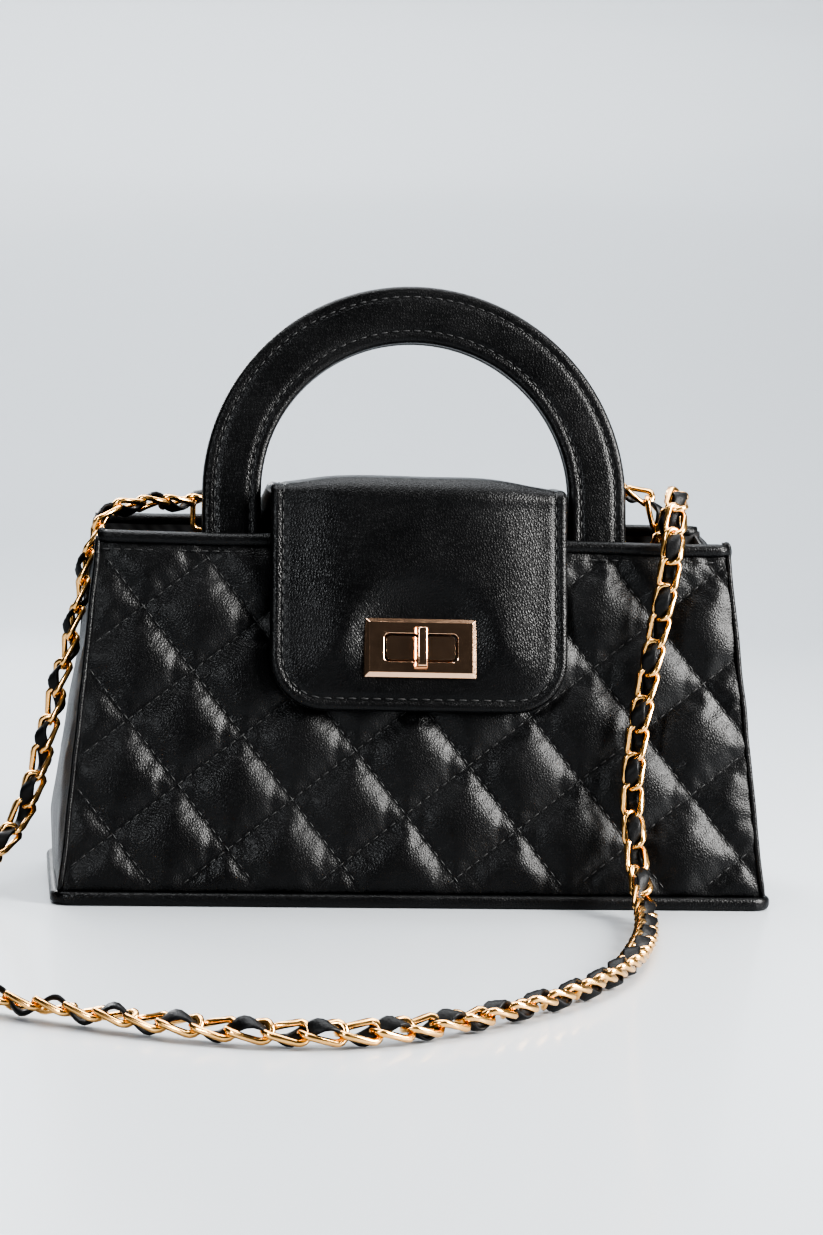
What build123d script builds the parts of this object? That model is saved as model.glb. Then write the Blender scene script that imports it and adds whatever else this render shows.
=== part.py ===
"""Quilted top-handle handbag with a fold-over flap, a turn-lock and a chain-and-leather shoulder strap.

Millimetres. +Z is up, the flap faces -Y, +X is to the right of someone facing the flap.
The origin is on the floor, below the middle of the bag. Each sub-part is written to parts/NODE.step.
"""

import os

from math import atan2, cos, degrees, radians, sin, tan

from build123d import *

# ---------------------------------------------------------------- overall shape of the bag
BASE_WIDTH = 264.0
BASE_DEPTH = 107.0
BASE_CORNER_RADIUS = 8.0
BASE_MARGIN = 3.0  # how far the base stands out past the walls
RIM_WIDTH = 234.0
RIM_FRONT_Y = -24.5
RIM_BACK_Y = 31.5
FRONT_HEIGHT = 133.5
BACK_RISE = 4.0  # how far the back rim stands above the front one

# ---------------------------------------------------------------- leather, padding and lining
LEATHER = 1.2
PADDING = 2.8
LINING = 0.8
BINDING_HEIGHT = 3.0
GUSSET_BULGES = {  # how far a gusset's middle stands out, by the share of its height
    "left": ((0.0, 0.0), (0.16, 3.2), (0.36, 3.2), (0.6, 0.0), (0.8, -4.0), (1.0, -7.0)),
    "right": ((0.0, 0.0), (0.16, 3.0), (0.36, 3.0), (0.6, 2.0), (0.8, 1.5), (1.0, 2.5)),
}
GUSSET_DIP = 8.0  # how far a gusset's top edge sags in the middle
BASE_BOARD = 2.2
BASE_FOAM = 1.6
BASE_BOARD_GAP = 0.2

# ---------------------------------------------------------------- flap
FLAP_WIDTH = 109.5
FLAP_BOTTOM_Z = 68.5
FLAP_CORNER_RADIUS = 20.0
FLAP_GAP = 2.0  # between the front wall and the flap
FLAP_LINING = 0.8
FLAP_PADDING = 2.2
FLAP_LEATHER = 1.2
FLAP_RISE = 18.0  # how far the flap's top stands above the front rim
FLAP_RIM_GAP = 1.0
FLAP_LEVEL_LENGTH = 19.0  # the level stretch behind the fold
FLAP_TAIL_BOTTOM_Z = 98.0
FOLD_ROLL_RADIUS = 3.4
FOLD_ROLL_COVER = 0.6
FOLD_CLEARANCE = 1.0

# ---------------------------------------------------------------- turn-lock
LOCK_Z = 92.0
LOCK_FRAME_WIDTH = 41.0
LOCK_FRAME_HEIGHT = 21.7
LOCK_FRAME_THICKNESS = 2.8
LOCK_FRAME_BEVEL = 1.6
LOCK_SLOT_WIDTH = 27.0
LOCK_SLOT_HEIGHT = 10.4
LOCK_SLOT_RADIUS = 2.0
LOCK_SLOT_CLEARANCE = 0.9
LOCK_BACK_THICKNESS = 0.8
LOCK_BACK_MARGIN = 1.5
LOCK_RIVET_RADIUS = 0.8
LOCK_FLANGE_WIDTH = 34.0
LOCK_FLANGE_HEIGHT = 17.0
LOCK_FLANGE_THICKNESS = 0.8
LOCK_BOSS_RECESS = 0.8  # how far the boss stays below the frame's face
LOCK_POST_RADIUS = 2.0
LOCK_POST_CLEARANCE = 0.05
LOCK_COLLAR_RADIUS = 4.0
LOCK_TOGGLE_LENGTH = 15.5
LOCK_TOGGLE_WIDTH = 5.4
LOCK_TOGGLE_THICKNESS = 4.2
LOCK_TOGGLE_CLEARANCE = 0.35
LOCK_TOGGLE_FACE = 0.8  # metal left over the end of the post
LOCK_WASHER_WIDTH = 30.0
LOCK_WASHER_HEIGHT = 14.0
LOCK_WASHER_THICKNESS = 1.0
LOCK_NUT_RADIUS = 3.6
LOCK_NUT_THICKNESS = 2.0

# ---------------------------------------------------------------- top handle
HANDLE_FLAP_GAP = 2.75  # between a leg of the handle and the flap's side
HANDLE_BAND_WIDTH = 21.5
HANDLE_HEIGHT = 95.3  # above the front rim, along the handle
HANDLE_LEATHER = 1.4
HANDLE_CORE = 4.2
HANDLE_WALL_GAP = 0.3
HANDLE_PIVOT_HEIGHT = 4.5
HANDLE_PIVOT_CLEARANCE = 0.3
HANDLE_ANCHOR_DEPTH = 28.0
HANDLE_PATCH_MARGIN = 3.0

# ---------------------------------------------------------------- strap rings, tabs and the chain strap
RING_FLAP_GAP = 9.25  # between the bend of a ring's bar and the flap's side
RING_DROP = 6.5  # how far a ring's bar lies below the back rim
RING_WIDTH = 16.0
RING_HEIGHT = 12.0
RING_WIRE = 2.2
RING_CORNER = 3.2
TAB_LEATHER = 1.4
TAB_LENGTH = 25.0  # below the ring's bar
TAB_BORE_CLEARANCE = 0.15
CHAIN_WIDTH = 9.3
CHAIN_POINTS = (
    (-72, 24, 143), (-83, 19.5, 142.5), (-96, 13.5, 141.5), (-107, 7, 141), (-114.5, 1.5, 136), (-119, -2.5, 126.5),
    (-121.5, -6, 113), (-125, -9, 95), (-130, -12, 75), (-134.5, -15, 54), (-139, -18, 35),
    (-147, -22, 19), (-160, -29, 8), (-176, -41, 4.65), (-190, -60, 4.65), (-199, -86, 4.65),
    (-202, -117, 4.65), (-199, -150, 4.65), (-190, -182, 4.65), (-176, -212, 4.65), (-155, -236, 4.65),
    (-130, -254, 4.65), (-102, -273, 4.65), (-72, -286, 4.65), (-42, -285, 4.65), (-17, -270, 4.65),
    (6, -249, 4.65), (27, -225, 4.65), (44, -198, 4.65), (57, -167, 4.65), (67, -135, 4.65),
    (74, -104, 4.65), (77.5, -83.5, 6), (78.5, -71.5, 10.5), (78.5, -62.5, 18), (78, -56.5, 28.5),
    (77.5, -52.5, 43), (79.5, -48, 62), (83.5, -43.5, 82), (88, -39.5, 102), (91.5, -36.5, 119),
    (93.5, -34, 133), (95.5, -28, 144.5), (98, -17.5, 151), (100, -6, 150), (100.5, 4, 142.5),
    (97.5, 7.5, 129), (89.5, 8, 113.5), (79.5, 9, 99.5), (72, 10, 84.5), (70, 11.5, 68),
    (77, 13, 54.5), (90, 14.5, 48), (103, 16, 53.5), (110.5, 17.5, 67.5), (112, 19, 84),
    (109.5, 19.5, 101), (105, 19.5, 118), (101, 20, 133), (98, 21.5, 142.5), (92.5, 23.5, 149.5),
    (84.5, 24, 150.5), (77.5, 24, 147.5), (72, 24, 142.5),
)
CHAIN_RADIUS_SHARE = 0.45

# ---------------------------------------------------------------- values worked out from the sizes above
WALL = LEATHER + PADDING + LINING
BASE_THICKNESS = LEATHER + BASE_BOARD + BASE_FOAM
FLAP_THICKNESS = FLAP_LINING + FLAP_PADDING + FLAP_LEATHER
FLAP_FACE = FLAP_GAP + FLAP_THICKNESS
HANDLE_THICKNESS = 2 * HANDLE_LEATHER + HANDLE_CORE
BACK_HEIGHT = FRONT_HEIGHT + BACK_RISE
FLAP_TOP_Z = FRONT_HEIGHT + FLAP_RISE
RING_BAR_Z = BACK_HEIGHT - RING_DROP
TAB_BOTTOM_Z = RING_BAR_Z - TAB_LENGTH
HANDLE_OUTER_WIDTH = FLAP_WIDTH + 2 * (HANDLE_FLAP_GAP + HANDLE_BAND_WIDTH)
RING_X = FLAP_WIDTH / 2 + RING_FLAP_GAP + RING_WIDTH / 2
WALL_HALF_WIDTH = BASE_WIDTH / 2 - BASE_MARGIN
WALL_FRONT_Y = -(BASE_DEPTH / 2 - BASE_MARGIN / 2)
WALL_BACK_Y = BASE_DEPTH / 2 - BASE_MARGIN / 2
FRONT_SLOPE = (RIM_FRONT_Y - WALL_FRONT_Y) / (FRONT_HEIGHT - BASE_THICKNESS)
BACK_SLOPE = (WALL_BACK_Y - RIM_BACK_Y) / (BACK_HEIGHT - BASE_THICKNESS)
SIDE_SLOPE = (WALL_HALF_WIDTH - RIM_WIDTH / 2) / (FRONT_HEIGHT - BASE_THICKNESS)
FRONT_LEAN = degrees(atan2(FRONT_SLOPE, 1))


def front_y(z):
    """Y of the front wall's outer face at height z."""
    return WALL_FRONT_Y + FRONT_SLOPE * (z - BASE_THICKNESS)


def back_y(z):
    """Y of the back wall's outer face at height z."""
    return WALL_BACK_Y - BACK_SLOPE * (z - BASE_THICKNESS)


def half_width(z):
    """Half the width of the walls at height z."""
    return WALL_HALF_WIDTH - SIDE_SLOPE * (z - BASE_THICKNESS)


def front_plane(z, stand_off):
    """A plane parallel to the front wall at height z: local x runs along +X, local y up the wall."""
    plane = Plane(origin=(0, front_y(z), z), x_dir=(1, 0, 0), z_dir=(0, -1, FRONT_SLOPE))
    return plane.offset(stand_off)


def save(shape, node):
    export_step(shape, f"parts/{node}.step")


# ---------------------------------------------------------------- walls
def tapered_block(inset, low, high):
    """The inside of the walls, with its front and back moved in, between two heights."""
    sections = []
    for z in (low, high):
        y0, y1 = front_y(z) + inset, back_y(z) - inset
        outline = Rectangle(2 * half_width(z), y1 - y0)
        sections.append(Plane((0, (y0 + y1) / 2, z)) * outline)
    return loft(Sketch() + sections, ruled=True)


def wall_layer(side, near, far, low, high):
    """One sheet of the front (side -1) or back (side 1) wall, between two depths below its face."""
    sheet = tapered_block(near, low, high) - tapered_block(far, low, high)
    half = Box(2 * BASE_WIDTH, BASE_DEPTH, 4 * BACK_HEIGHT, align=(Align.CENTER, Align.MIN, Align.CENTER))
    return sheet & (half if side > 0 else half.rotate(Axis.Z, 180))


def gusset_layer(side, near, far):
    """One sheet of a side wall: arcs across the bag at a few heights, joined by straight rulings."""
    name = "left" if side < 0 else "right"
    sections = []
    for share, bulge in GUSSET_BULGES[name]:
        z = BASE_THICKNESS + share * (FRONT_HEIGHT - BASE_THICKNESS)
        y0, y1 = front_y(z) + WALL, back_y(z) - WALL
        middle = (y0 + y1) / 2
        edges = []
        for depth in (near, far):
            x = half_width(z) - depth
            edges.append(((side * x, y0), (side * (x + bulge), middle), (side * x, y1)))
        if abs(bulge) < 0.1:
            outer, inner = (Polyline(*points) for points in edges)
        else:
            outer, inner = (ThreePointArc(*points) for points in edges)
        outline = [outer, Line(outer @ 1, inner @ 1), inner, Line(inner @ 0, outer @ 0)]
        sections.append(Plane((0, 0, z)) * make_face(Curve() + outline))
    spans = [loft(Sketch() + [a, b], ruled=True) for a, b in zip(sections, sections[1:])]
    whole = spans[0]
    for span in spans[1:]:
        whole = whole + span
    return whole - gusset_dip()


def gusset_dip():
    """A long shallow trough across the bag that lowers the middle of both gussets' top edges."""
    y0, y1 = front_y(FRONT_HEIGHT) + WALL, back_y(FRONT_HEIGHT) - WALL
    half = (y1 - y0) / 2
    radius = (half * half + GUSSET_DIP * GUSSET_DIP) / (2 * GUSSET_DIP)
    trough = Cylinder(radius, 2 * BASE_WIDTH, rotation=(0, 90, 0))
    return Pos(0, (y0 + y1) / 2, FRONT_HEIGHT - GUSSET_DIP + radius) * trough


def binding(side, height):
    """The turned and stitched top edge that closes the layers of the front or back wall."""
    return wall_layer(side, 0, WALL, height - BINDING_HEIGHT, height)


def build_walls():
    low = BASE_THICKNESS
    holes = lock_post(LOCK_POST_CLEARANCE)
    layers = (("panel", 0, LEATHER), ("padding", LEATHER, LEATHER + PADDING), ("lining", LEATHER + PADDING, WALL))
    for layer, near, far in layers:
        front = wall_layer(-1, near, far, low, FRONT_HEIGHT - BINDING_HEIGHT)
        save(front - holes, f"front_{layer}")
        save(wall_layer(1, near, far, low, BACK_HEIGHT - BINDING_HEIGHT), f"back_{layer}")
    save(binding(-1, FRONT_HEIGHT), "front_rim_binding")
    save(binding(1, BACK_HEIGHT), "back_rim_binding")
    for side, name in ((-1, "left"), (1, "right")):
        save(gusset_layer(side, 0, LEATHER), f"gusset_{name}")
        save(gusset_layer(side, LEATHER, LEATHER + LINING), f"gusset_lining_{name}")


# ---------------------------------------------------------------- base
def base_block(width, depth, radius, low, high):
    outline = RectangleRounded(width, depth, radius)
    return Pos(0, 0, low) * extrude(outline, high - low)


def build_base():
    """A leather tray holds a stiff board and a foam sheet, and a lined insole closes it inside the bag."""
    edge = 2 * LEATHER
    board_low = LEATHER
    foam_low = board_low + BASE_BOARD
    cover = base_block(BASE_WIDTH, BASE_DEPTH, BASE_CORNER_RADIUS, 0, BASE_THICKNESS)
    pocket_size = (BASE_WIDTH - 2 * edge, BASE_DEPTH - 2 * edge, BASE_CORNER_RADIUS - edge)
    save(cover - base_block(*pocket_size, board_low, BASE_THICKNESS), "base_cover")
    inner = tuple(size - 2 * BASE_BOARD_GAP for size in pocket_size[:2]) + (pocket_size[2] - BASE_BOARD_GAP,)
    save(base_block(*inner, board_low, foam_low), "base_board")
    save(base_block(*inner, foam_low, foam_low + BASE_FOAM), "base_foam")
    inside = tapered_block(WALL, BASE_THICKNESS, BASE_THICKNESS + LINING)
    sides = Box(2 * (half_width(BASE_THICKNESS + LINING) - LEATHER - LINING), BASE_DEPTH, BASE_DEPTH)
    save(inside & sides, "base_lining")


# ---------------------------------------------------------------- flap
def fold_axis_yz():
    """Where the flap folds over its filler roll, above the front rim."""
    top = FLAP_TOP_Z - FOLD_ROLL_COVER - FOLD_ROLL_RADIUS
    wall_line = front_y(top) - (FLAP_GAP + FLAP_THICKNESS / 2) / cos(radians(FRONT_LEAN))
    return wall_line + FLAP_THICKNESS / 2, top


def flap_front_layer(near, far):
    """One layer of the hanging part of the flap, between two distances from the front wall."""
    y, z = fold_axis_yz()
    top_z = z - FOLD_ROLL_RADIUS - FOLD_CLEARANCE
    length = (top_z - FLAP_BOTTOM_Z) / cos(radians(FRONT_LEAN))
    outline = Rectangle(FLAP_WIDTH, length, align=(Align.CENTER, Align.MIN))
    lower = outline.vertices().group_by(Axis.Y)[0]
    outline = fillet(lower, FLAP_CORNER_RADIUS)
    return extrude(front_plane(FLAP_BOTTOM_Z, near) * outline, far - near)


def lock_rivets(near, far):
    """The four rivets that clamp the lock frame's two plates through the flap."""
    spots = GridLocations((LOCK_SLOT_WIDTH + LOCK_FRAME_WIDTH) / 2, LOCK_SLOT_HEIGHT, 2, 2)
    outlines = Sketch() + [spot * Circle(LOCK_RIVET_RADIUS) for spot in spots]
    return extrude(front_plane(LOCK_Z, near) * outlines, far - near)


def lock_slot(near, far):
    outline = RectangleRounded(LOCK_SLOT_WIDTH, LOCK_SLOT_HEIGHT, LOCK_SLOT_RADIUS)
    return extrude(front_plane(LOCK_Z, near) * outline, far - near)


def band(points, near, far, width):
    """A sheet that follows a bent line of (y, z) points, between two distances to the line's left."""
    def side_line(distance):
        line = []
        for i, (y, z) in enumerate(points):
            before = points[max(i - 1, 0)]
            after = points[min(i + 1, len(points) - 1)]
            one = atan2(z - before[1], y - before[0]) if i else atan2(after[1] - z, after[0] - y)
            two = atan2(after[1] - z, after[0] - y) if i < len(points) - 1 else one
            middle = (one + two) / 2
            reach = distance / cos((two - one) / 2)
            line.append((0, y - reach * sin(middle), z + reach * cos(middle)))
        return line

    outline = Polyline(*side_line(near), *reversed(side_line(far)), close=True)
    return extrude(make_face(outline), width / 2, dir=(1, 0, 0), both=True)


def build_flap():
    fold_y, fold_z = fold_axis_yz()
    layers = (
        ("lining", FLAP_GAP, FLAP_GAP + FLAP_LINING),
        ("padding", FLAP_GAP + FLAP_LINING, FLAP_GAP + FLAP_LINING + FLAP_PADDING),
        ("leather", FLAP_FACE - FLAP_LEATHER, FLAP_FACE),
    )
    cuts = lock_slot(0, 2 * FLAP_FACE) + lock_rivets(0, 2 * FLAP_FACE)
    for layer, near, far in layers:
        save(flap_front_layer(near, far) - cuts, f"flap_front_{layer}")

    # the fixed part of the flap starts on the back wall, rises over the back rim and runs forward to the fold
    rim_z = BACK_HEIGHT + FLAP_RIM_GAP
    lowest = FLAP_TOP_Z - FLAP_THICKNESS
    line = (
        (fold_y, lowest),
        (fold_y + FLAP_LEVEL_LENGTH, lowest),
        (back_y(rim_z), rim_z),
        (back_y(FLAP_TAIL_BOTTOM_Z), FLAP_TAIL_BOTTOM_Z),
    )
    roll = Pos(0, fold_y, fold_z) * Cylinder(FOLD_ROLL_RADIUS, FLAP_WIDTH, rotation=(0, 90, 0))
    save(roll, "flap_fold_roll")
    walls = tapered_block(0, BASE_THICKNESS, BACK_HEIGHT)
    depths = (("lining", 0, FLAP_LINING), ("padding", FLAP_LINING, FLAP_LINING + FLAP_PADDING),
              ("leather", FLAP_LINING + FLAP_PADDING, FLAP_THICKNESS))
    for layer, near, far in depths:
        sheet = band(line, near, far, FLAP_WIDTH)
        save(sheet - roll - walls, f"flap_top_{layer}")


# ---------------------------------------------------------------- turn-lock
def lock_post(clearance):
    """The post's shank, from behind the lining to inside the toggle."""
    low = -(WALL + LOCK_WASHER_THICKNESS + LOCK_NUT_THICKNESS)
    high = toggle_back() + LOCK_TOGGLE_THICKNESS - LOCK_TOGGLE_FACE
    return extrude(front_plane(LOCK_Z, low) * Circle(LOCK_POST_RADIUS + clearance), high - low)


def frame_face():
    return FLAP_FACE + LOCK_FRAME_THICKNESS


def toggle_back():
    return frame_face() + LOCK_TOGGLE_CLEARANCE


def lock_plate(width, height, radius, near, far):
    return extrude(front_plane(LOCK_Z, near) * RectangleRounded(width, height, radius), far - near)


def build_lock():
    shank = lock_post(LOCK_POST_CLEARANCE)
    post = lock_post(0)

    frame = extrude(front_plane(LOCK_Z, FLAP_FACE) * Rectangle(LOCK_FRAME_WIDTH, LOCK_FRAME_HEIGHT),
                    LOCK_FRAME_THICKNESS)
    face = frame.faces().sort_by(Axis((0, 0, 0), (0, -1, FRONT_SLOPE)))[-1]
    frame = chamfer(face.edges(), LOCK_FRAME_BEVEL)
    save(frame - lock_slot(0, 2 * frame_face()), "lock_frame")
    back_width = LOCK_FRAME_WIDTH - 2 * LOCK_BACK_MARGIN
    back_height = LOCK_FRAME_HEIGHT - 2 * LOCK_BACK_MARGIN
    back = lock_plate(back_width, back_height, 1, FLAP_GAP - LOCK_BACK_THICKNESS, FLAP_GAP)
    save(back - lock_slot(0, FLAP_FACE), "lock_frame_back_plate")
    save(lock_rivets(FLAP_GAP, FLAP_FACE), "lock_frame_rivets")

    boss_width = LOCK_SLOT_WIDTH - 2 * LOCK_SLOT_CLEARANCE
    boss_height = LOCK_SLOT_HEIGHT - 2 * LOCK_SLOT_CLEARANCE
    boss_face = frame_face() - LOCK_BOSS_RECESS
    base = lock_plate(LOCK_FLANGE_WIDTH, LOCK_FLANGE_HEIGHT, 2, 0, LOCK_FLANGE_THICKNESS)
    base = base + lock_plate(boss_width, boss_height, LOCK_SLOT_RADIUS - LOCK_SLOT_CLEARANCE / 2,
                             LOCK_FLANGE_THICKNESS, boss_face)
    save(base - shank, "lock_base_plate")
    collar = extrude(front_plane(LOCK_Z, boss_face) * Circle(LOCK_COLLAR_RADIUS), LOCK_BOSS_RECESS)
    save(collar - shank, "lock_collar")
    save(post, "lock_post")

    toggle = extrude(front_plane(LOCK_Z, toggle_back()) * RectangleRounded(
        LOCK_TOGGLE_WIDTH, LOCK_TOGGLE_LENGTH, LOCK_TOGGLE_WIDTH / 3), LOCK_TOGGLE_THICKNESS)
    save(toggle - shank - post, "lock_toggle")
    washer = lock_plate(LOCK_WASHER_WIDTH, LOCK_WASHER_HEIGHT, 2, -WALL - LOCK_WASHER_THICKNESS, -WALL)
    save(washer - shank, "lock_washer_plate")
    nut_low = -(WALL + LOCK_WASHER_THICKNESS + LOCK_NUT_THICKNESS)
    nut = extrude(front_plane(LOCK_Z, nut_low) * RegularPolygon(LOCK_NUT_RADIUS, 6), LOCK_NUT_THICKNESS)
    save(nut - post, "lock_nut")


# ---------------------------------------------------------------- handle
def handle_plane(depth):
    """The handle's own plane at its pivot, a depth behind the front wall's lining."""
    return front_plane(FRONT_HEIGHT, -(WALL + HANDLE_WALL_GAP + depth))


def handle_layer(near, far):
    """One layer of the arch, between two depths; its feet end round the pivot."""
    outer = HANDLE_OUTER_WIDTH / 2
    inner = outer - HANDLE_BAND_WIDTH
    spring = HANDLE_HEIGHT - outer  # where the straight legs turn into the arch
    foot = HANDLE_PIVOT_HEIGHT - HANDLE_THICKNESS / 2
    arch = Pos(0, spring) * (Circle(outer) - Circle(inner))
    arch = arch & Pos(0, spring) * Rectangle(4 * outer, 2 * outer, align=(Align.CENTER, Align.MIN))
    leg = Rectangle(HANDLE_BAND_WIDTH, spring - foot, align=(Align.CENTER, Align.MIN))
    outline = arch + [Pos(side * (outer - HANDLE_BAND_WIDTH / 2), foot) * leg for side in (-1, 1)]
    layer = extrude(handle_plane(far) * outline, far - near)
    below = handle_plane(HANDLE_THICKNESS / 2) * Pos(0, HANDLE_PIVOT_HEIGHT) * Box(
        4 * outer, 2 * HANDLE_THICKNESS, 4 * HANDLE_THICKNESS, align=(Align.CENTER, Align.MAX, Align.CENTER))
    return layer - (below - handle_knuckle(0))


def handle_knuckle(clearance):
    """The round end of the feet, about the line where the leather bends."""
    knuckle = Cylinder(HANDLE_THICKNESS / 2 + clearance, 2 * HANDLE_OUTER_WIDTH, rotation=(0, 90, 0))
    return handle_plane(HANDLE_THICKNESS / 2) * Pos(0, HANDLE_PIVOT_HEIGHT) * knuckle


def build_handle():
    save(handle_layer(0, HANDLE_LEATHER), "handle_front_leather")
    save(handle_layer(HANDLE_LEATHER, HANDLE_LEATHER + HANDLE_CORE), "handle_core")
    save(handle_layer(HANDLE_LEATHER + HANDLE_CORE, HANDLE_THICKNESS), "handle_back_leather")
    leg_x = HANDLE_OUTER_WIDTH / 2 - HANDLE_BAND_WIDTH / 2
    top = HANDLE_PIVOT_HEIGHT - HANDLE_THICKNESS / 2
    for side, name in ((-1, "left"), (1, "right")):
        strip = Pos(side * leg_x, top) * Rectangle(
            HANDLE_BAND_WIDTH, HANDLE_ANCHOR_DEPTH + top, align=(Align.CENTER, Align.MAX))
        anchor = extrude(handle_plane(HANDLE_THICKNESS) * strip, HANDLE_THICKNESS)
        save(anchor - handle_knuckle(HANDLE_PIVOT_CLEARANCE), f"handle_anchor_{name}")
        cover = Pos(side * leg_x, -HANDLE_PATCH_MARGIN) * Rectangle(
            HANDLE_BAND_WIDTH + 2 * HANDLE_PATCH_MARGIN, HANDLE_ANCHOR_DEPTH, align=(Align.CENTER, Align.MAX))
        save(extrude(handle_plane(HANDLE_THICKNESS + LEATHER) * cover, LEATHER), f"handle_patch_{name}")


# ---------------------------------------------------------------- rings and tabs for the strap
def ring_y():
    """Y of the rings' plane: the tab's loop hangs against the back wall's lining."""
    loop = RING_WIRE / 2 + TAB_BORE_CLEARANCE + TAB_LEATHER
    return back_y(RING_BAR_Z) - WALL - loop - BACK_SLOPE * loop


def build_strap_fittings():
    y = ring_y()
    for side, name in ((-1, "left"), (1, "right")):
        x = side * RING_X
        corners = [(x + dx * RING_WIDTH / 2, y, RING_BAR_Z + dz * RING_HEIGHT)
                   for dx, dz in ((-1, 0), (1, 0), (1, 1), (-1, 1))]
        wire = FilletPolyline(*corners, radius=RING_CORNER, close=True)
        section = Plane(wire @ 0, z_dir=wire % 0) * Circle(RING_WIRE / 2)
        save(sweep(section, path=wire), f"strap_ring_{name}")

        bore = RING_WIRE / 2 + TAB_BORE_CLEARANCE
        width = RING_WIDTH - 2 * RING_CORNER - 2 * TAB_BORE_CLEARANCE
        loop = Pos(x, y, RING_BAR_Z) * Cylinder(bore + TAB_LEATHER, width, rotation=(0, 90, 0))
        tail_y = back_y(TAB_BOTTOM_Z) - WALL
        face = Polyline(
            (x, tail_y, TAB_BOTTOM_Z), (x, back_y(RING_BAR_Z) - WALL, RING_BAR_Z), (x, y, RING_BAR_Z),
            (x, back_y(RING_BAR_Z - 2 * bore) - WALL - 2 * TAB_LEATHER, RING_BAR_Z - 2 * bore - TAB_LEATHER),
            (x, tail_y - 2 * TAB_LEATHER, TAB_BOTTOM_Z), close=True)
        tail = extrude(make_face(face), width / 2, dir=(1, 0, 0), both=True)
        tab = loop + tail - Pos(x, y, RING_BAR_Z) * Cylinder(bore, 2 * RING_WIDTH, rotation=(0, 90, 0))
        inside = tapered_block(WALL, BASE_THICKNESS, BACK_HEIGHT)
        save(tab & inside, f"strap_tab_{name}")


# ---------------------------------------------------------------- chain strap
def corner_radii(points):
    """Each corner's arc: 0.45 of the shorter run beside it over the tangent of half the turn."""
    radii = []
    for before, here, after in zip(points, points[1:], points[2:]):
        one = Vector(*here) - Vector(*before)
        two = Vector(*after) - Vector(*here)
        turn = radians(one.get_angle(two))
        radii.append(CHAIN_RADIUS_SHARE * min(one.length, two.length) / tan(turn / 2))
    return radii


def build_chain():
    radii = corner_radii(CHAIN_POINTS)
    path = FilletPolyline(*CHAIN_POINTS, radius=radii)
    section = Plane(path @ 0, z_dir=path % 0) * Circle(CHAIN_WIDTH / 2)
    tube = sweep(section, path=path)
    print("chain radii:", " ".join(f"{radius:.0f}" for radius in radii))
    print(f"chain length {path.length:.1f}, volume {tube.volume:.0f}, "
          f"section times length {section.area * path.length:.0f}")
    save(tube, "chain_strap")


def print_axes():
    """The joints' axes, for whoever mounts or drives the bag."""
    y, z = fold_axis_yz()
    print(f"flap fold axis y {y:.3f} z {z:.3f}")
    pivot = handle_plane(HANDLE_THICKNESS / 2) * Pos(0, HANDLE_PIVOT_HEIGHT)
    print(f"handle pivot {pivot.position}")
    lock = front_plane(LOCK_Z, 0)
    print(f"lock axis through {lock.origin} along {lock.z_dir}")


os.makedirs("parts", exist_ok=True)
print_axes()
build_walls()
build_base()
build_flap()
build_lock()
build_handle()
build_strap_fittings()
build_chain()
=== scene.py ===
"""A small quilted handbag with a top handle, a turn-lock flap and a chain strap laced with leather.

Metres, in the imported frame: +Z is up, the flap faces -Y, and the origin is on the floor below the bag.
"""

import math

import bmesh
import bpy
from mathutils import Matrix, Vector, noise


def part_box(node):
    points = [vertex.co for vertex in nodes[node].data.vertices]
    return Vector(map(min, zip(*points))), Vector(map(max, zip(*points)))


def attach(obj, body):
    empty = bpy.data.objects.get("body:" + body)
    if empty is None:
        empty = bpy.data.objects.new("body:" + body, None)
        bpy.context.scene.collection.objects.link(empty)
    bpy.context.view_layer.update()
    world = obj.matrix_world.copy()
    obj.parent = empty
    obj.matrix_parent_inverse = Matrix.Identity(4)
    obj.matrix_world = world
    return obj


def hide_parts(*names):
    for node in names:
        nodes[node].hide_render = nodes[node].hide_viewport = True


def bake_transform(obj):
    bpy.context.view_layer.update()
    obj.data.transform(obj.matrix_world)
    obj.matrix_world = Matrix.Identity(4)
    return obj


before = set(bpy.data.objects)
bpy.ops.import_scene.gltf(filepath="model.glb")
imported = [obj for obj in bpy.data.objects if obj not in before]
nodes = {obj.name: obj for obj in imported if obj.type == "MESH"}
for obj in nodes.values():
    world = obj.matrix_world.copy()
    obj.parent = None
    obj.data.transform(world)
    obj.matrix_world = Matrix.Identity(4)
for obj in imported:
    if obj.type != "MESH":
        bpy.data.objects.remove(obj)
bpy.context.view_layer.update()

# ---------------------------------------------------------------- camera
# A long lens a little over a metre from the flap, just left of the middle. It looks slightly down and is held
# a little off level.
CAMERA_PLACE = Vector((-0.15155, -1.16284, 0.19431))
CAMERA_TURN = 0.131
CAMERA_TILT = -0.079
CAMERA_ROLL = 0.031
CAMERA_LENS = 91.2
CAMERA_SENSOR = 36

ahead = Vector((math.sin(CAMERA_TURN) * math.cos(CAMERA_TILT),
                math.cos(CAMERA_TURN) * math.cos(CAMERA_TILT), math.sin(CAMERA_TILT)))
level = ahead.cross(Vector((0, 0, 1))).normalized()
upright = level.cross(ahead)
right = level * math.cos(CAMERA_ROLL) + upright * math.sin(CAMERA_ROLL)
top = upright * math.cos(CAMERA_ROLL) - level * math.sin(CAMERA_ROLL)
camera = bpy.data.objects.new("camera", bpy.data.cameras.new("camera"))
camera.data.lens = CAMERA_LENS
camera.data.sensor_width = CAMERA_SENSOR
camera.matrix_world = Matrix.Translation(CAMERA_PLACE) @ Matrix((right, top, -ahead)).transposed().to_4x4()
bpy.context.scene.collection.objects.link(camera)
bpy.context.scene.camera = camera

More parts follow.
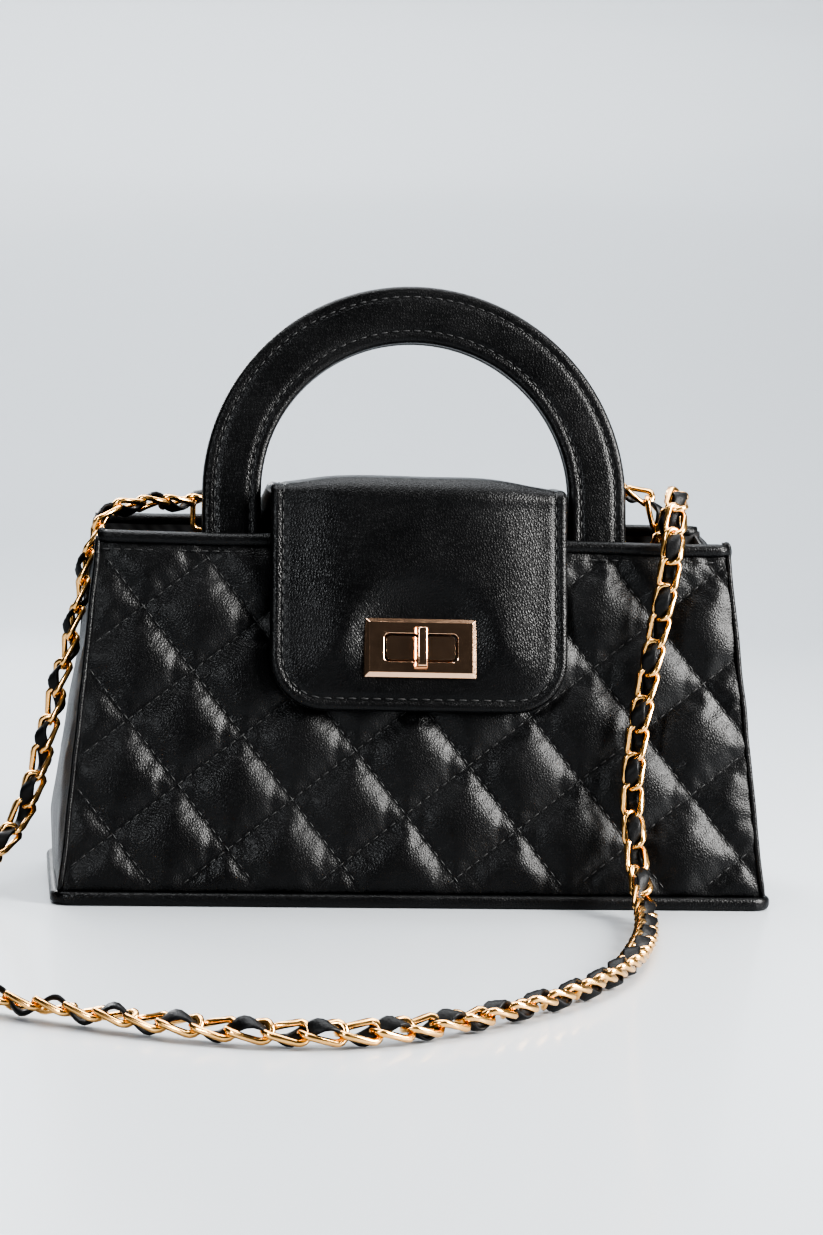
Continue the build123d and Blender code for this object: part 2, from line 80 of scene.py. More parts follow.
# ---------------------------------------------------------------- strap: chain and lace
# A curb chain of gilt oval links, each given a quarter twist so that the chain lies flat. A flat leather lace
# is woven over one link and under the next. It hangs from two rings, runs over the rims and lies on the table.
STRAP_ROUTE = (
    (-.072, .024, .143), (-.083, .0195, .1425), (-.096, .0135, .1415), (-.107, .007, .141),
    (-.1145, .0015, .136), (-.119, -.0025, .1265), (-.1215, -.006, .113), (-.125, -.009, .095),
    (-.130, -.012, .075), (-.1345, -.015, .054), (-.139, -.018, .035), (-.147, -.022, .019),
    (-.160, -.029, .008), (-.176, -.041, .00465), (-.190, -.060, .00465), (-.199, -.086, .00465),
    (-.202, -.117, .00465), (-.199, -.150, .00465), (-.190, -.182, .00465), (-.176, -.212, .00465),
    (-.155, -.236, .00465), (-.130, -.254, .00465), (-.102, -.273, .00465), (-.072, -.286, .00465),
    (-.042, -.285, .00465), (-.017, -.270, .00465), (.006, -.249, .00465), (.027, -.225, .00465),
    (.044, -.198, .00465), (.057, -.167, .00465), (.067, -.135, .00465), (.074, -.104, .00465),
    (.0775, -.0835, .006), (.0785, -.0715, .0105), (.0785, -.0625, .018), (.078, -.0565, .0285),
    (.0775, -.0525, .043), (.0795, -.048, .062), (.0835, -.0435, .082), (.088, -.0395, .102),
    (.0915, -.0365, .119), (.0935, -.034, .133), (.0955, -.028, .1445), (.098, -.0175, .151),
    (.100, -.006, .150), (.1005, .004, .1425), (.0975, .0075, .129), (.0895, .008, .1135),
    (.0795, .009, .0995), (.072, .010, .0845), (.070, .0115, .068), (.077, .013, .0545),
    (.090, .0145, .048), (.103, .016, .0535), (.1105, .0175, .0675), (.112, .019, .084),
    (.1095, .0195, .101), (.105, .0195, .118), (.101, .020, .133), (.098, .0215, .1425),
    (.0925, .0235, .1495), (.0845, .024, .1505), (.0775, .024, .1475), (.072, .024, .1425),
)
STRAP_WIDTH = 0.0093
LINK_PITCH = 0.0106
LINK_WIRE = 0.0024
LINK_TWIST = math.radians(40)
LACE_WIDTH = 0.0054
LACE_THICKNESS = 0.0018
LACE_SWING = 0.0030
LACE_STEPS_A_LINK = 6
STRAP_ROLL = 0.55  # the chain turns a little to and fro about its own line
STRAP_ROLL_RATE = 0.047
LACE_TILT = math.radians(38)
GILT = (0.92, 0.54, 0.21, 1)
BLACK_HIDE = (0.0014, 0.0014, 0.0016, 1)


def metal(name, colour, roughness, brushing):
    """Polished plated metal with faint handling marks."""
    made = bpy.data.materials.new(name)
    made.use_nodes = True
    tree = made.node_tree
    shader = tree.nodes["Principled BSDF"]
    shader.inputs["Base Color"].default_value = colour
    shader.inputs["Metallic"].default_value = 1
    place = tree.nodes.new("ShaderNodeTexCoord")
    smears = tree.nodes.new("ShaderNodeTexNoise")
    smears.inputs["Scale"].default_value = 420
    smears.inputs["Detail"].default_value = 5
    tree.links.new(place.outputs["Object"], smears.inputs["Vector"])
    spread = tree.nodes.new("ShaderNodeMapRange")
    spread.inputs["To Min"].default_value = roughness
    spread.inputs["To Max"].default_value = roughness + brushing
    tree.links.new(smears.outputs["Fac"], spread.inputs["Value"])
    tree.links.new(spread.outputs["Result"], shader.inputs["Roughness"])
    dents = tree.nodes.new("ShaderNodeBump")
    dents.inputs["Strength"].default_value = 0.06
    dents.inputs["Distance"].default_value = 0.0002
    tree.links.new(smears.outputs["Fac"], dents.inputs["Height"])
    tree.links.new(dents.outputs["Normal"], shader.inputs["Normal"])
    return made


def hide(name, colour, roughness, pebble, creases):
    """Black grained leather: small pebbled cells, soft creases, and a finish that is more worn in places."""
    made = bpy.data.materials.new(name)
    made.use_nodes = True
    tree = made.node_tree
    shader = tree.nodes["Principled BSDF"]
    shader.inputs["Specular IOR Level"].default_value = 0.26
    place = tree.nodes.new("ShaderNodeTexCoord")
    cells = tree.nodes.new("ShaderNodeTexVoronoi")
    cells.feature = "DISTANCE_TO_EDGE"
    cells.inputs["Scale"].default_value = 1000
    folds = tree.nodes.new("ShaderNodeTexNoise")
    folds.inputs["Scale"].default_value = 170
    folds.inputs["Detail"].default_value = 6
    folds.inputs["Distortion"].default_value = 0.7
    wear = tree.nodes.new("ShaderNodeTexNoise")
    wear.inputs["Scale"].default_value = 38
    wear.inputs["Detail"].default_value = 4
    for texture in (cells, folds, wear):
        tree.links.new(place.outputs["Object"], texture.inputs["Vector"])
    tint = tree.nodes.new("ShaderNodeMix")
    tint.data_type = "RGBA"
    tint.inputs["A"].default_value = colour
    tint.inputs["B"].default_value = (colour[0] * 2.1, colour[1] * 2.1, colour[2] * 2.1, 1)
    tree.links.new(wear.outputs["Fac"], tint.inputs["Factor"])
    tree.links.new(tint.outputs["Result"], shader.inputs["Base Color"])
    finish = tree.nodes.new("ShaderNodeMapRange")
    finish.inputs["From Min"].default_value = 0.3
    finish.inputs["From Max"].default_value = 0.7
    finish.inputs["To Min"].default_value = roughness
    finish.inputs["To Max"].default_value = roughness + 0.10
    tree.links.new(wear.outputs["Fac"], finish.inputs["Value"])
    tree.links.new(finish.outputs["Result"], shader.inputs["Roughness"])
    grain = tree.nodes.new("ShaderNodeBump")
    grain.inputs["Strength"].default_value = pebble
    grain.inputs["Distance"].default_value = 0.00035
    tree.links.new(cells.outputs["Distance"], grain.inputs["Height"])
    crease = tree.nodes.new("ShaderNodeBump")
    crease.inputs["Strength"].default_value = creases
    crease.inputs["Distance"].default_value = 0.0007
    tree.links.new(folds.outputs["Fac"], crease.inputs["Height"])
    tree.links.new(crease.outputs["Normal"], grain.inputs["Normal"])
    tree.links.new(grain.outputs["Normal"], shader.inputs["Normal"])
    return made


def finished(name, bm, *materials, smooth=True):
    """The bmesh as an object of that name, with its materials."""
    mesh = bpy.data.meshes.new(name)
    bm.to_mesh(mesh)
    bm.free()
    mesh.polygons.foreach_set("use_smooth", [smooth] * len(mesh.polygons))
    for material in materials:
        mesh.materials.append(material)
    made = bpy.data.objects.new(name, mesh)
    bpy.context.scene.collection.objects.link(made)
    return made


strap_curve = bpy.data.curves.new("strap_line", "CURVE")
strap_curve.dimensions = "3D"
strap_spline = strap_curve.splines.new("NURBS")
strap_spline.points.add(len(STRAP_ROUTE) - 1)
for point, place in zip(strap_spline.points, STRAP_ROUTE):
    point.co = (*place, 1)
strap_spline.order_u = 3
strap_spline.use_endpoint_u = True
strap_spline.resolution_u = 16
strap_line = bpy.data.objects.new("strap_line", strap_curve)
strap_read = bpy.data.meshes.new_from_object(strap_line)
strap_points = [vertex.co.copy() for vertex in strap_read.vertices]
bpy.data.objects.remove(strap_line)


def walk(points, step):
    """Places and directions along a line, evenly spaced."""
    whole = sum((b - a).length for a, b in zip(points, points[1:]))
    count = round(whole / step)
    wanted = [whole * i / count for i in range(count + 1)]
    found = []
    done = 0
    for a, b in zip(points, points[1:]):
        run = (b - a).length
        while len(found) < len(wanted) and wanted[len(found)] <= done + run + 1e-9:
            found.append(a.lerp(b, (wanted[len(found)] - done) / run))
        done += run
    ways = [(found[min(i + 1, count)] - found[max(i - 1, 0)]).normalized() for i in range(len(found))]
    return found, ways


def carried(ways, start, facing):
    """The side that faces up at one place, carried along the line both ways without turning about it."""
    faces = [None] * len(ways)
    faces[start] = (facing - ways[start] * facing.dot(ways[start])).normalized()
    for order in (range(start + 1, len(ways)), range(start - 1, -1, -1)):
        last = faces[start]
        for i in order:
            last = (last - ways[i] * last.dot(ways[i])).normalized()
            faces[i] = last
    return faces


def stood(place, way, face):
    """The frame at a place on a line: x along it, z out of its flat side."""
    return Matrix.Translation(place) @ Matrix((way, face.cross(way), face)).transposed().to_4x4()


strap_places, strap_ways = walk(strap_points, LINK_PITCH / LACE_STEPS_A_LINK)
strap_faces = carried(strap_ways, len(strap_ways) // 2, Vector((0, 0, 1)))
for i, way in enumerate(strap_ways):
    strap_faces[i].rotate(Matrix.Rotation(STRAP_ROLL * math.sin(i * STRAP_ROLL_RATE), 3, way))

link_bm = bmesh.new()
bmesh.ops.create_circle(link_bm, segments=7, radius=LINK_WIRE / 2,
                        matrix=Matrix.Translation((0, (STRAP_WIDTH - LINK_WIRE) / 2, 0))
                        @ Matrix.Rotation(math.pi / 2, 4, "Y"))
bmesh.ops.spin(link_bm, geom=link_bm.verts[:] + link_bm.edges[:], cent=(0, 0, 0), axis=(0, 0, 1),
               angle=2 * math.pi, steps=18, use_merge=True)
bmesh.ops.remove_doubles(link_bm, verts=link_bm.verts, dist=1e-6)
bmesh.ops.recalc_face_normals(link_bm, faces=link_bm.faces)
half_straight = (LINK_PITCH + 2 * LINK_WIRE - STRAP_WIDTH) / 2
half_link = LINK_PITCH / 2 + LINK_WIRE
for vertex in link_bm.verts:
    vertex.co.x += math.copysign(half_straight, vertex.co.x)
    vertex.co.rotate(Matrix.Rotation(LINK_TWIST * vertex.co.x / half_link, 3, "X"))
link_mesh = bpy.data.meshes.new("link")
link_bm.to_mesh(link_mesh)
link_bm.free()

strap_bm = bmesh.new()
for i in range(LACE_STEPS_A_LINK // 2, len(strap_places) - 1, LACE_STEPS_A_LINK):
    known = len(strap_bm.verts)
    strap_bm.from_mesh(link_mesh)
    strap_bm.verts.ensure_lookup_table()
    bmesh.ops.transform(strap_bm, verts=strap_bm.verts[known:],
                        matrix=stood(strap_places[i], strap_ways[i], strap_faces[i]))
gilt = metal("gilt", GILT, 0.16, 0.12)
strap_chain = finished("strap_chain", strap_bm, gilt)

lace_bm = bmesh.new()
lace_ring = None
for i in range(len(strap_places)):
    sway = math.sin(math.pi * i / LACE_STEPS_A_LINK) * LACE_SWING
    turn = Matrix.Rotation(LACE_TILT * math.cos(math.pi * i / LACE_STEPS_A_LINK), 4, "X")
    at = stood(strap_places[i] + strap_faces[i] * sway, strap_ways[i], strap_faces[i]) @ turn
    shape = at @ Matrix.Rotation(math.pi / 2, 4, "Y") @ Matrix.Diagonal(
        (LACE_THICKNESS / 2, LACE_WIDTH / 2, 1, 1))
    ring = bmesh.ops.create_circle(lace_bm, segments=10, radius=1, matrix=shape,
                                   cap_ends=i in (0, len(strap_places) - 1))
    edges = {edge for vertex in ring["verts"] for edge in vertex.link_edges}
    if lace_ring:
        bmesh.ops.bridge_loops(lace_bm, edges=list(edges | lace_ring))
    lace_ring = edges
bmesh.ops.recalc_face_normals(lace_bm, faces=lace_bm.faces)
lace_hide = hide("lace_leather", BLACK_HIDE, 0.42, 0.3, 0.2)
strap_lace = finished("strap_lace", lace_bm, lace_hide)

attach(strap_chain, "bag")
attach(strap_lace, "bag")
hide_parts("chain_strap")

# ---------------------------------------------------------------- table and light
# A glossy pale table that sweeps up into a blue-grey wall. A soft window on the right gives the highlights, and
# wide dim lights above and behind fill in. The high contrast look keeps the leather black.
SWEEP_START_Y = 1.1
SWEEP_RADIUS = 0.9
TABLE_HALF = 5.0


def painted(name, colour, roughness, coat):
    """A smooth painted surface with very faint unevenness."""
    made = bpy.data.materials.new(name)
    made.use_nodes = True
    tree = made.node_tree
    shader = tree.nodes["Principled BSDF"]
    place = tree.nodes.new("ShaderNodeTexCoord")
    cloud = tree.nodes.new("ShaderNodeTexNoise")
    cloud.inputs["Scale"].default_value = 1.6
    tree.links.new(place.outputs["Object"], cloud.inputs["Vector"])
    tint = tree.nodes.new("ShaderNodeMix")
    tint.data_type = "RGBA"
    tint.inputs["A"].default_value = colour
    tint.inputs["B"].default_value = (colour[0] * 0.96, colour[1] * 0.965, colour[2] * 0.97, 1)
    tree.links.new(cloud.outputs["Fac"], tint.inputs["Factor"])
    tree.links.new(tint.outputs["Result"], shader.inputs["Base Color"])
    shader.inputs["Roughness"].default_value = roughness
    shader.inputs["Coat Weight"].default_value = coat
    shader.inputs["Coat Roughness"].default_value = 0.12
    return made


table_bm = bmesh.new()
ends = [table_bm.verts.new((-TABLE_HALF, y, 0)) for y in (-TABLE_HALF, SWEEP_START_Y)]
table_bm.edges.new(ends)
bmesh.ops.spin(table_bm, geom=[ends[1]], cent=(0, SWEEP_START_Y, SWEEP_RADIUS), axis=(1, 0, 0),
               angle=math.pi / 2, steps=24)
last = max(table_bm.verts, key=lambda vertex: vertex.co.z)
table_bm.edges.new((last, table_bm.verts.new(last.co + Vector((0, 0, TABLE_HALF)))))
wide = bmesh.ops.extrude_edge_only(table_bm, edges=table_bm.edges[:])
bmesh.ops.translate(table_bm, verts=[v for v in wide["geom"] if isinstance(v, bmesh.types.BMVert)],
                    vec=(2 * TABLE_HALF, 0, 0))
bmesh.ops.recalc_face_normals(table_bm, faces=table_bm.faces)
table = finished("table_sweep", table_bm, painted("pale_paint", (0.45, 0.47, 0.49, 1), 0.42, 0.25))


def window(name, place, aim, size, power, colour):
    """A soft rectangular light that looks at a point."""
    light = bpy.data.lights.new(name, "AREA")
    light.shape = "RECTANGLE"
    light.size, light.size_y = size
    light.energy = power
    light.color = colour
    made = bpy.data.objects.new(name, light)
    turn = (Vector(aim) - Vector(place)).to_track_quat("-Z", "Y").to_matrix().to_4x4()
    made.matrix_world = Matrix.Translation(place) @ turn
    bpy.context.scene.collection.objects.link(made)


window("key_window", (0.78, -0.46, 0.50), (0.04, 0, 0.09), (0.42, 0.6), 30, (1, 0.99, 0.97))
window("left_strip", (-0.75, -1.15, 0.62), (0, 0, 0.08), (0.2, 0.6), 9, (0.95, 0.98, 1))
window("overhead", (0.1, 0.75, 1.9), (0, 0.35, 0), (2.4, 1.6), 46, (0.98, 0.99, 1))
window("table_light", (-0.2, -0.5, 2.3), (0, -0.35, 0), (1.2, 0.5), 20, (0.98, 0.99, 1))
window("wall_wash", (0, 0.9, 2.6), (0, 2.2, 0.5), (3.0, 0.8), 38, (0.88, 0.94, 1))
window("back_fill", (-0.45, 0.95, 0.6), (0, 0, 0.09), (0.5, 0.4), 7, (0.98, 0.99, 1))
world = bpy.data.worlds.new("room")
world.use_nodes = True
world.node_tree.nodes["Background"].inputs["Color"].default_value = (0.80, 0.84, 0.88, 1)
world.node_tree.nodes["Background"].inputs["Strength"].default_value = 0.06
bpy.context.scene.world = world
bpy.context.scene.view_settings.look = "AgX - High Contrast"

# ---------------------------------------------------------------- quilted walls
# The front and back are leather over wadding, stitched through in a slanting lattice so that it puffs up into
# diamonds. Each is sewn flat, then the wadding is let swell until the leather is tight.
WALL_HIDE = 0.0012
QUILT_SIDE = 0.0295
QUILT_CELLS = 12
QUILT_STEPS = 14
QUILT_TURN = math.radians(38.2)
QUILT_CROSSING = {-1: (-0.0041, 0.0291), 1: (0.0041, 0.0291)}
QUILT_SUNK = 0.0022
QUILT_ENLARGED = 10  # the swelling is worked out ten times as large, where the cloth solver is steady
QUILT_SWELL_FRAMES = 18
QUILT_PRESSURE = 8
QUILT_FULLNESS = -0.035
QUILT_SEW_WIDTH = 0.02  # as a share of a diamond's side
SEAM_REACH = 0.16
SEAM_FOOT_CLEAR = 0.004
SEAM_RIM_CLEAR = 0.006
SEAM_SIDE_CLEAR = 0.003
SEAM_PROUD = 0.0002
RIM_ROW_DROP = 0.0042
RIM_ROW_PROUD = 0.0012
STITCH_PITCH = 0.0040
STITCH_LENGTH = 0.0029
STITCH_RADIUS = 0.00036


def wall_frame(side):
    """The frame of the front (side -1) or back (1) wall's face: x across it, y up its slope, z out of it."""
    low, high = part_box("front_panel" if side < 0 else "back_panel")
    foot = low.y if side < 0 else high.y
    head = high.y - WALL_HIDE if side < 0 else low.y + WALL_HIDE
    up = Vector((0, head - foot, high.z - low.z)).normalized()
    out = Vector((0, side * up.z, -side * up.y))
    across = up.cross(out)
    return Matrix.Translation((0, foot, low.z)) @ Matrix((across, up, out)).transposed().to_4x4()


def wall_outline(side):
    """The half widths of a quilted wall at its foot and under its rim, and its height along the slope."""
    low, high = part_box("front_panel" if side < 0 else "back_panel")
    rim_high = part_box("front_rim_binding" if side < 0 else "back_rim_binding")[1]
    return high.x, rim_high.x, (high.z - low.z) / wall_frame(side).col[1].z


stitch_bm = bmesh.new()
bmesh.ops.create_uvsphere(stitch_bm, u_segments=6, v_segments=4, radius=1)
stitch_mesh = bpy.data.meshes.new("stitch")
stitch_bm.to_mesh(stitch_mesh)
stitch_bm.free()


def stitch(bm, place, way, length=STITCH_LENGTH, radius=STITCH_RADIUS):
    """One stitch: a short round-ended stretch of thread that dips at its ends."""
    turn = way.to_track_quat("Z", "Y").to_matrix().to_4x4()
    shape = Matrix.Translation(place) @ turn @ Matrix.Diagonal((radius, radius, length / 2, 1))
    known = len(bm.verts)
    bm.from_mesh(stitch_mesh)
    bm.verts.ensure_lookup_table()
    bmesh.ops.transform(bm, verts=bm.verts[known:], matrix=shape)


thread = bpy.data.materials.new("black_thread")
thread.use_nodes = True
thread_shader = thread.node_tree.nodes["Principled BSDF"]
thread_shader.inputs["Roughness"].default_value = 0.55
thread_shader.inputs["Sheen Weight"].default_value = 0.08
thread_place = thread.node_tree.nodes.new("ShaderNodeTexCoord")
thread_plies = thread.node_tree.nodes.new("ShaderNodeTexNoise")
thread_plies.inputs["Scale"].default_value = 3000
thread_tint = thread.node_tree.nodes.new("ShaderNodeMix")
thread_tint.data_type = "RGBA"
thread_tint.inputs["A"].default_value = (0.003, 0.003, 0.003, 1)
thread_tint.inputs["B"].default_value = (0.011, 0.011, 0.011, 1)
thread.node_tree.links.new(thread_place.outputs["Object"], thread_plies.inputs["Vector"])
thread.node_tree.links.new(thread_plies.outputs["Fac"], thread_tint.inputs["Factor"])
thread.node_tree.links.new(thread_tint.outputs["Result"], thread_shader.inputs["Base Color"])

quilt_hide = hide("quilted_leather", BLACK_HIDE, 0.33, 0.5, 0.12)


def quilt(side, name):
    """A quilted wall, swollen between its seams, and its stitches."""
    foot, rim, height = wall_outline(side)
    crossing = Vector(QUILT_CROSSING[side])
    bm = bmesh.new()
    steps = QUILT_CELLS * QUILT_STEPS
    bmesh.ops.create_grid(bm, x_segments=steps, y_segments=steps, size=QUILT_CELLS * QUILT_SIDE / 2)
    bmesh.ops.rotate(bm, verts=bm.verts, matrix=Matrix.Rotation(side * -QUILT_TURN, 3, "Z"))
    bmesh.ops.translate(bm, verts=bm.verts, vec=crossing.to_3d())
    corners = [Vector(corner) for corner in ((-foot, 0, 0), (foot, 0, 0), (rim, height, 0), (-rim, height, 0))]
    for a, b in zip(corners, corners[1:] + corners[:1]):
        edge = b - a
        bmesh.ops.bisect_plane(bm, geom=bm.verts[:] + bm.edges[:] + bm.faces[:], plane_co=a,
                               plane_no=(edge.y, -edge.x, 0), clear_outer=True, dist=1e-6)
    bm.verts.index_update()
    sewn = {vertex.index for vertex in bm.verts if vertex.is_boundary}
    turned = Matrix.Rotation(side * QUILT_TURN, 2)
    for vertex in bm.verts:
        cell = turned @ (vertex.co.to_2d() - crossing) / QUILT_SIDE
        if min(abs(cell.x - round(cell.x)), abs(cell.y - round(cell.y))) < QUILT_SEW_WIDTH:
            sewn.add(vertex.index)
    bmesh.ops.scale(bm, verts=bm.verts, vec=(QUILT_ENLARGED,) * 3)
    wall = finished(name, bm, quilt_hide)
    swell(wall, sewn)
    wall.data.transform(wall_frame(side) @ Matrix.Translation((0, 0, -QUILT_SUNK))
                        @ Matrix.Scale(1 / QUILT_ENLARGED, 4))
    shell = wall.modifiers.new("thickness", "SOLIDIFY")
    shell.thickness = WALL_HIDE
    shell.offset = -1
    round_off = wall.modifiers.new("smooth", "SUBSURF")
    round_off.levels = round_off.render_levels = 1

    seam_bm = bmesh.new()
    reach = int(SEAM_REACH / STITCH_PITCH)
    for line in range(-QUILT_CELLS // 2, QUILT_CELLS // 2 + 1):
        for step in range(-reach, reach + 1):
            along = (step + 0.5) * STITCH_PITCH
            for cell, way in ((Vector((line * QUILT_SIDE, along)), Vector((0, 1))),
                              (Vector((along, line * QUILT_SIDE)), Vector((1, 0)))):
                spot = Matrix.Rotation(side * -QUILT_TURN, 2) @ cell + crossing
                share = spot.y / height
                half = foot + (rim - foot) * share
                if (SEAM_FOOT_CLEAR < spot.y < height - SEAM_RIM_CLEAR
                        and abs(spot.x) < half - SEAM_SIDE_CLEAR):
                    way = Matrix.Rotation(side * -QUILT_TURN, 2) @ way
                    stitch(seam_bm, Vector((*spot, SEAM_PROUD - QUILT_SUNK)), way.to_3d())
    across = rim * 2 - 2 * SEAM_SIDE_CLEAR
    for step in range(int(across / STITCH_PITCH)):
        spot = Vector((step * STITCH_PITCH - across / 2, height - RIM_ROW_DROP, RIM_ROW_PROUD - QUILT_SUNK))
        stitch(seam_bm, spot, Vector((1, 0, 0)))
    bmesh.ops.transform(seam_bm, verts=seam_bm.verts, matrix=wall_frame(side))
    seams = finished(name + "_stitches", seam_bm, thread)
    for piece in (wall, seams):
        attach(piece, "bag")
    return wall


def swell(wall, sewn):
    """Lets the wadding press the leather out between its stitch lines."""
    wall.vertex_groups.new(name="sewn").add(sorted(sewn), 1.0, "REPLACE")
    cloth = wall.modifiers.new("swelling", "CLOTH")
    cloth.settings.quality = 6
    cloth.settings.mass = 0.3
    cloth.settings.tension_stiffness = 15
    cloth.settings.compression_stiffness = 15
    cloth.settings.shear_stiffness = 5
    cloth.settings.bending_stiffness = 1.5
    cloth.settings.use_pressure = True
    cloth.settings.uniform_pressure_force = QUILT_PRESSURE
    cloth.settings.shrink_min = QUILT_FULLNESS
    cloth.settings.vertex_group_mass = "sewn"
    cloth.settings.effector_weights.gravity = 0
    cloth.collision_settings.use_collision = False
    cloth.collision_settings.use_self_collision = False
    cloth.point_cache.frame_start = 1
    cloth.point_cache.frame_end = QUILT_SWELL_FRAMES
    for number in range(1, QUILT_SWELL_FRAMES + 1):
        bpy.context.scene.frame_set(number)
    swollen = wall.evaluated_get(bpy.context.evaluated_depsgraph_get())
    places = [vertex.co.copy() for vertex in swollen.data.vertices]
    wall.modifiers.clear()
    for vertex, place in zip(wall.data.vertices, places):
        vertex.co = place
    bpy.context.scene.frame_set(1)


front_wall = quilt(-1, "front_quilting")
back_wall = quilt(1, "back_quilting")
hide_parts("front_panel", "front_padding")
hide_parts("back_panel", "back_padding")

# ---------------------------------------------------------------- rims and side seams
# The top edges are rolled over all the layers and stitched. The panels are turned along their sides, which
# leaves a soft round rib where they meet the gussets.
RIM_DEPTH = 0.0054
RIM_HEIGHT = 0.0052
WALL_THICKNESS = 0.0048
RIM_STEPS = 60
RIM_SHARE = 0.997
RIM_WAVER = 0.0005
RIB_RADIUS = 0.0013
WAVER_SEED = 11
RIB_STEPS = 40
RIB_OUT = 0.0006
RIB_SUNK = 0.0002
RIB_WAVER = 0.0006
smooth_hide = hide("smooth_leather", BLACK_HIDE, 0.29, 0.55, 0.06)


def rolled(bm, line, half_across, half_up, facing, sides=16):
    """A round or oval roll of leather that follows a line; its ends are closed."""
    before = None
    for i, place in enumerate(line):
        way = (line[min(i + 1, len(line) - 1)] - line[max(i - 1, 0)]).normalized()
        face = (facing - way * facing.dot(way)).normalized()
        taper = 0.86 if i in (0, len(line) - 1) else 1
        shape = stood(place, way, face) @ Matrix.Rotation(math.pi / 2, 4, "Y") @ Matrix.Diagonal(
            (half_up * taper, half_across * taper, 1, 1))
        ring = bmesh.ops.create_circle(bm, segments=sides, radius=1, matrix=shape,
                                       cap_ends=i in (0, len(line) - 1))
        edges = {edge for vertex in ring["verts"] for edge in vertex.link_edges}
        if before:
            bmesh.ops.bridge_loops(bm, edges=list(edges | before))
        before = edges
    bmesh.ops.recalc_face_normals(bm, faces=bm.faces)


noise.seed_set(WAVER_SEED)  # the vector noise starts from the clock otherwise


def wobble(place, reach, detail):
    """A small smooth random shift that is the same each time."""
    return noise.noise_vector(place * detail) * reach


for side, name in ((-1, "front"), (1, "back")):
    place = wall_frame(side)
    foot, rim, height = wall_outline(side)
    low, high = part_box(name + "_rim_binding")
    rim_top = (high.z - place.translation.z) / place.col[1].z
    rim_bm = bmesh.new()
    line = []
    for i in range(RIM_STEPS + 1):
        spot = Vector((rim * (i / (RIM_STEPS // 2) - 1) * RIM_SHARE, rim_top - RIM_HEIGHT / 2, -WALL_THICKNESS / 2))
        line.append(place @ (spot + wobble(spot, RIM_WAVER, 35)))
    rolled(rim_bm, line, RIM_DEPTH / 2, RIM_HEIGHT / 2, place.to_3x3().col[1])
    roll = finished(name + "_rim_roll", rim_bm, smooth_hide)
    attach(roll, "bag")
    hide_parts(name + "_rim_binding")

    rib_bm = bmesh.new()
    for hand in (-1, 1):
        line = []
        for i in range(RIB_STEPS + 1):
            share = i / RIB_STEPS
            spot = Vector((hand * (foot + (rim - foot) * share - RIB_OUT), share * height + RIB_OUT,
                           -QUILT_SUNK - RIB_SUNK))
            line.append(place @ (spot + wobble(spot, RIB_WAVER, 60)))
        rolled(rib_bm, line, RIB_RADIUS * 0.9, RIB_RADIUS * 1.25, place.to_3x3().col[2], 12)
    ribs = finished(name + "_side_ribs", rib_bm, smooth_hide)
    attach(ribs, "bag")

# ---------------------------------------------------------------- gussets
# The sides are single soft leather panels, sewn in between the front and the back. They bulge a little low
# down and sink or bow out near the top.
GUSSET_BULGES = {
    "left": ((0.0, 0.0), (0.16, .0032), (0.36, .0032), (0.6, 0.0), (0.8, -.0040), (1.0, -.0070)),
    "right": ((0.0, 0.0), (0.16, .0030), (0.36, .0030), (0.6, .0020), (0.8, .0015), (1.0, .0025)),
}
GUSSET_DIP = 0.0080
GUSSET_CREASE = 0.0016
GUSSET_ROWS = 64
GUSSET_COLUMNS = 40
GUSSET_TUCK = 0.0016
GUSSET_HIDE = 0.0010
GUSSET_EDGE_DROP = 0.001
GUSSET_EDGE_STEPS = 40
GUSSET_EDGE_ACROSS = 0.0017
GUSSET_EDGE_UP = 0.0020


def bulge_at(name, share):
    """How far a gusset's middle stands out at a share of its height."""
    stations = GUSSET_BULGES[name]
    for (low, a), (high, b) in zip(stations, stations[1:]):
        if share <= high:
            return a + (b - a) * (share - low) / (high - low)
    return stations[-1][1]


gusset_foot, gusset_rim = wall_outline(-1)[:2]
gusset_low, gusset_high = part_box("front_rim_binding")
gusset_walls = [wall_frame(side) for side in (-1, 1)]
gusset_slopes = [wall.col[1].y / wall.col[1].z for wall in gusset_walls]
gusset_floor = gusset_walls[0].translation.z


def gusset_place(name, across, share):
    """A point of a gusset: across runs from -1 at the front to 1 at the back."""
    hand = -1 if name == "left" else 1
    middle = 1 - across * across
    z = gusset_floor + share * (gusset_high.z - gusset_floor) - GUSSET_DIP * middle * share ** 6
    rise = z - gusset_floor
    y_front, y_back = (wall.translation.y + rise * slope for wall, slope in zip(gusset_walls, gusset_slopes))
    half = (y_back - y_front) / 2 - GUSSET_TUCK
    y = (y_front + y_back) / 2 + across * half
    soft = noise.noise(Vector((hand * 3.1, y * 42, z * 34))) + 0.5 * noise.noise(Vector((hand, y * 95, z * 70)))
    out = bulge_at(name, share) * middle + GUSSET_CREASE * (soft + 0.9) * 0.5 * min(1, 3 * middle)
    narrowing = (gusset_rim - gusset_foot) * rise / (gusset_low.z - gusset_floor)
    return Vector((hand * (gusset_foot + narrowing + out), y, z))


